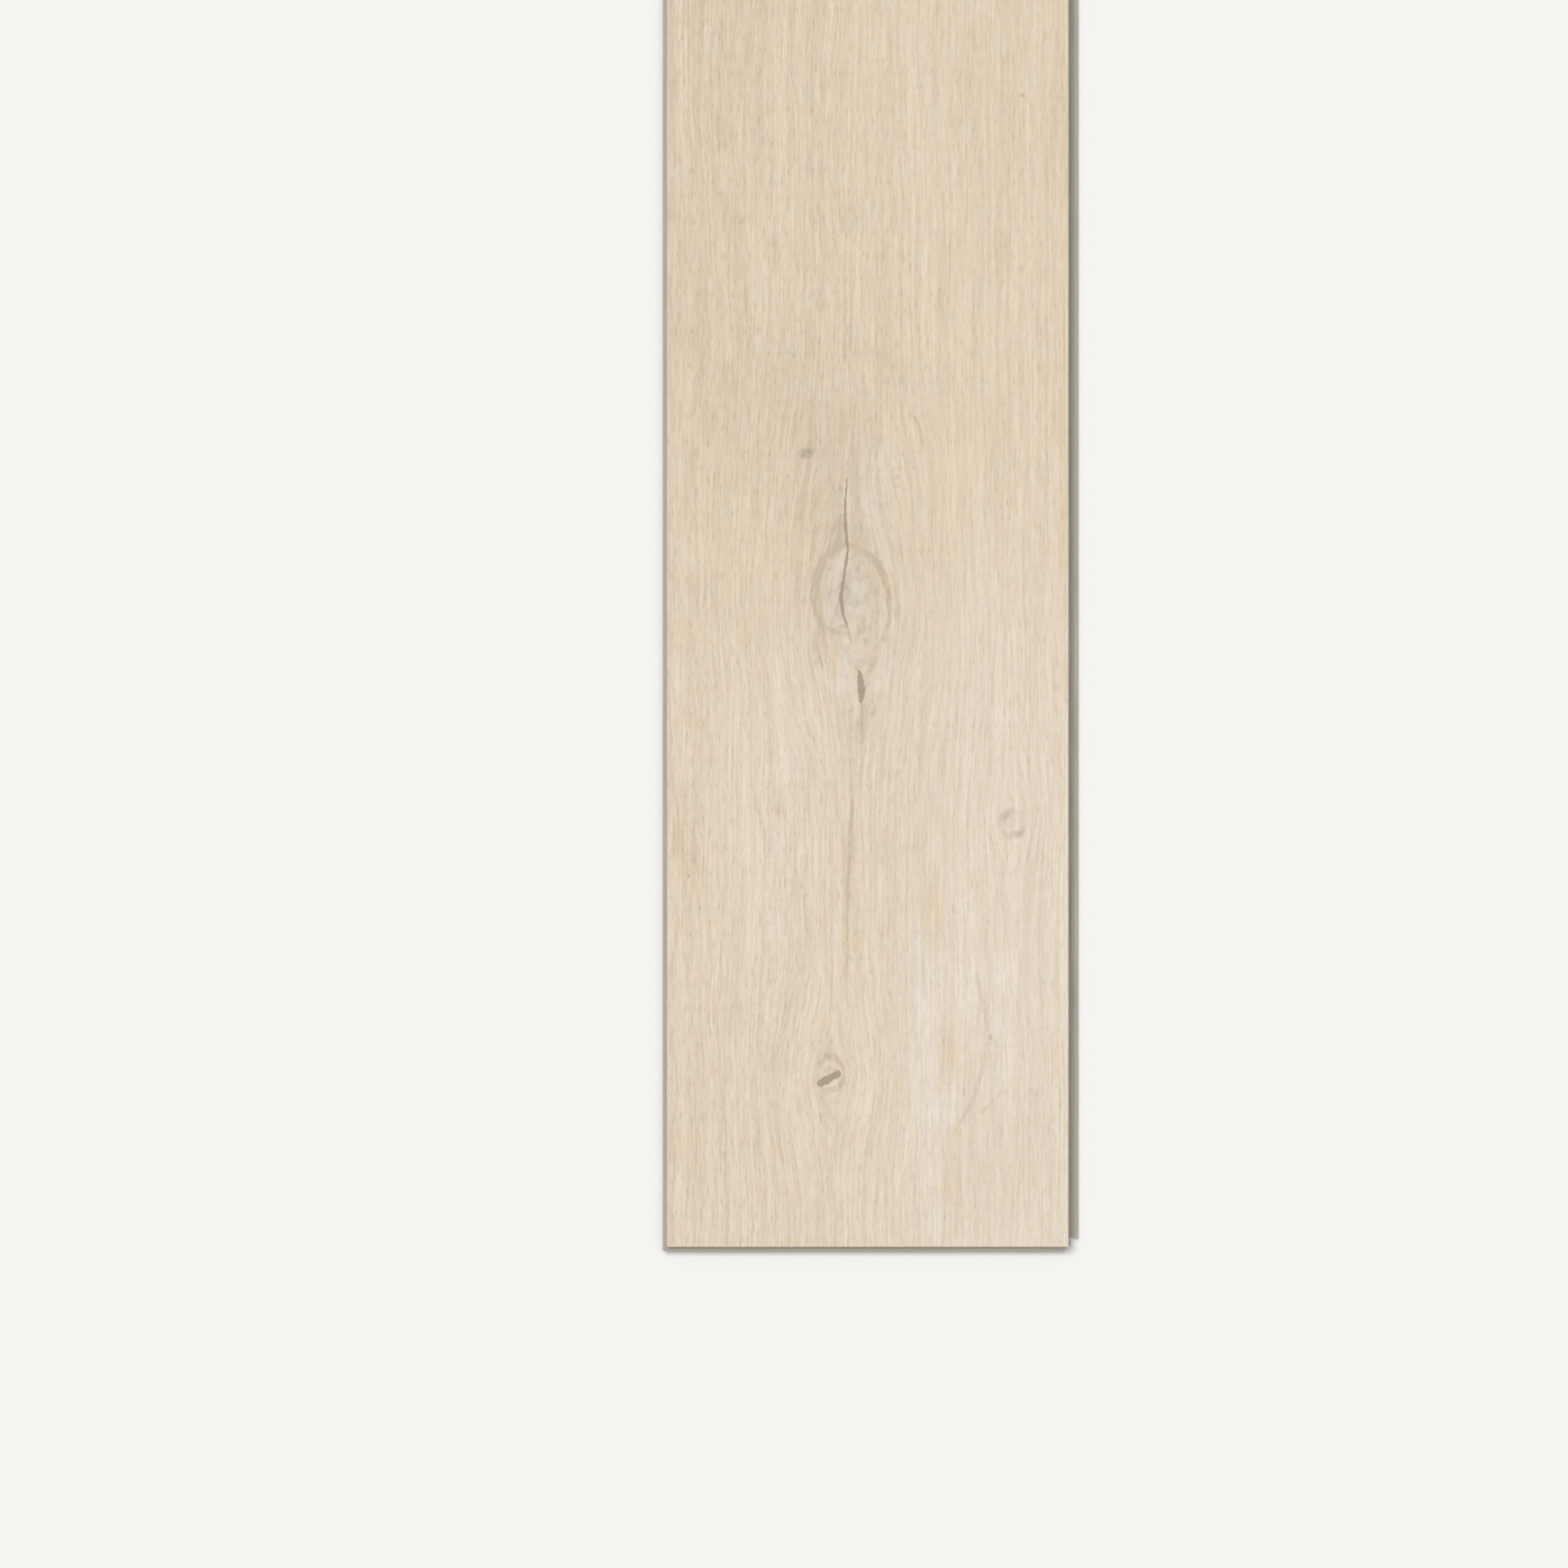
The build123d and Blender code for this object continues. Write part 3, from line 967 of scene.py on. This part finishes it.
def lay_out_bake(mesh, looks):
    """Gives the mesh its map for baked pictures."""
    low, high = CAD_BOX
    layer = mesh.uv_layers.new(name=BAKE_MAP)
    for polygon in mesh.polygons:
        worn = mesh.materials[polygon.material_index]
        far = polygon.center.y > MIDDLE_Y
        for corner in polygon.loop_indices:
            place = mesh.vertices[mesh.loops[corner].vertex_index].co
            across = part_way(place.x, low.x, high.x)
            along = part_way(place.y, low.y, high.y)
            if worn == looks["Face"]:
                spot = far * (HALF_FACE_STRIP + STRIP_GAP) + HALF_FACE_STRIP * across
                along = 2 * along - far
            elif worn == looks["Backing"]:
                spot = BACKING_START + BACKING_STRIP * across
            else:
                bevelled = worn == looks["Bevel"]
                spot, along = edge_spot(place, polygon.center, polygon.normal, bevelled)
            layer.uv[corner].vector = (spot, STRIP_GAP + (1 - 2 * STRIP_GAP) * along)


class PLANK_OT_board(bpy.types.Operator):
    """Make the plank with its printed and embossed face"""

    bl_idname = "plank.make_board"
    bl_label = "Make Plank"

    def execute(self, context):
        settings, body = context.scene.plank_print, context.scene.plank_body
        board = bpy.data.objects.new("printed_plank", gridded_board(body))
        context.scene.collection.objects.link(board)

        tree = embossing_tree()
        embossing = board.modifiers.new("Embossing", "NODES")
        embossing.node_group = tree
        values = {
            "Seed": float(settings.seed),
            "Grain depth": body.grain_depth,
            "Split depth": body.split_depth,
            "Edge margin": body.edge_margin,
            "Face": oak_print(settings),
            "Bevel": bevel_paint(settings),
            "Core": milled_core(body),
            "Backing": plain_backing(body),
        }
        for socket in tree.interface.items_tree:
            if socket.in_out == "INPUT" and socket.name in values:
                embossing[socket.identifier] = values[socket.name]

        finished = board.evaluated_get(context.evaluated_depsgraph_get())
        plain = bpy.data.meshes.new_from_object(finished)
        board.modifiers.clear()
        board.data = plain
        plain.name = "printed_plank"
        plain.polygons.foreach_set("use_smooth", [True] * len(plain.polygons))
        plain.set_sharp_from_angle(angle=math.radians(SHARP_DEG))
        lay_out_bake(plain, values)

        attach(board, "root")
        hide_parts("plank")
        return {"FINISHED"}


class PLANK_OT_stage(bpy.types.Operator):
    """Lay the floor, and set the light and the camera"""

    bl_idname = "plank.set_stage"
    bl_label = "Set Stage"

    def execute(self, context):
        stage = context.scene.plank_stage
        self.lay_floor(context, stage)
        self.light(context, stage)
        self.aim_camera(context, stage)
        context.scene.view_settings.view_transform = "Standard"
        return {"FINISHED"}

    def lay_floor(self, context, stage):
        half = stage.floor_side / 2
        level = CAD_BOX[0].z - FLOOR_GAP
        mesh = bpy.data.meshes.new("floor")
        turns = ((-1, -1), (1, -1), (1, 1), (-1, 1))
        corners = [(x * half, y * half, level) for x, y in turns]
        mesh.from_pydata(corners, [], [(0, 1, 2, 3)])
        floor = bpy.data.objects.new("floor", mesh)
        context.scene.collection.objects.link(floor)
        material, _, shader = new_material("floor")
        shader.inputs["Base Color"].default_value = opaque(stage.floor)
        shader.inputs["Roughness"].default_value = FLOOR_ROUGHNESS
        shader.inputs["Specular IOR Level"].default_value = 0.0
        mesh.materials.append(material)

    def light(self, context, stage):
        world = bpy.data.worlds.new("soft_light")
        world.use_nodes = True
        background = world.node_tree.nodes["Background"]
        background.inputs["Color"].default_value = opaque(stage.floor)

        # Where it is seen, and not only lights, it is as pale as the floor
        sheet = Sheet(world.node_tree)
        rays = sheet.node("ShaderNodeLightPath").outputs
        kinds = ("Camera", "Glossy", "Transmission")
        seen = sheet.gathered("MAXIMUM", (rays[f"Is {kind} Ray"] for kind in kinds))
        strength = sheet.math("MULTIPLY_ADD", seen, 1.0 - stage.world_light, stage.world_light)
        sheet.feed(background.inputs["Strength"], strength)
        context.scene.world = world
        lamp = bpy.data.lights.new("key", "SUN")
        lamp.energy = stage.key_light
        lamp.angle = stage.key_spread
        key = bpy.data.objects.new("key", lamp)
        key.rotation_euler = (math.pi / 2 - stage.key_height, 0, stage.key_turn)
        context.scene.collection.objects.link(key)

    def aim_camera(self, context, stage):
        middle = PICTURE_SIDE / 2
        x = FACE_LEFT + (middle - PICTURE_LEFT_SEAM) * METRES_PER_PIXEL
        y = FACE_NEAR + (PICTURE_NEAR_END - middle) * METRES_PER_PIXEL
        lens = bpy.data.cameras.new("camera")
        lens.sensor_fit = "HORIZONTAL"
        lens.lens = lens.sensor_width * stage.camera_height / (PICTURE_SIDE * METRES_PER_PIXEL)
        lens.clip_end = CAMERA_REACH
        camera = bpy.data.objects.new("camera", lens)
        camera.location = (x, y, FACE_LEVEL + stage.camera_height)
        context.scene.collection.objects.link(camera)
        context.scene.camera = camera


class PLANK_PT_sidebar(bpy.types.Panel):
    """Lists the plank's settings and operators"""

    bl_label = "Vinyl Plank"
    bl_idname = "PLANK_PT_sidebar"
    bl_space_type = "VIEW_3D"
    bl_region_type = "UI"
    bl_category = "Plank"

    def draw(self, context):
        scene = context.scene
        for operator, groups in (
            (PLANK_OT_board, (scene.plank_print, scene.plank_body)),
            (PLANK_OT_stage, (scene.plank_stage,)),
        ):
            for group in groups:
                for setting in group.__annotations__:
                    self.layout.prop(group, setting)
            self.layout.operator(operator.bl_idname)


CLASSES = (PlankPrint, PlankBody, PlankStage, PLANK_OT_board, PLANK_OT_stage, PLANK_PT_sidebar)


def register():
    for made in CLASSES:
        bpy.utils.register_class(made)
    bpy.types.Scene.plank_print = PointerProperty(type=PlankPrint)
    bpy.types.Scene.plank_body = PointerProperty(type=PlankBody)
    bpy.types.Scene.plank_stage = PointerProperty(type=PlankStage)


def unregister():
    del bpy.types.Scene.plank_print
    del bpy.types.Scene.plank_body
    del bpy.types.Scene.plank_stage
    for made in reversed(CLASSES):
        bpy.utils.unregister_class(made)


def main():
    register()
    bpy.ops.plank.make_board()
    bpy.ops.plank.set_stage()


if __name__ == "__main__":
    main()
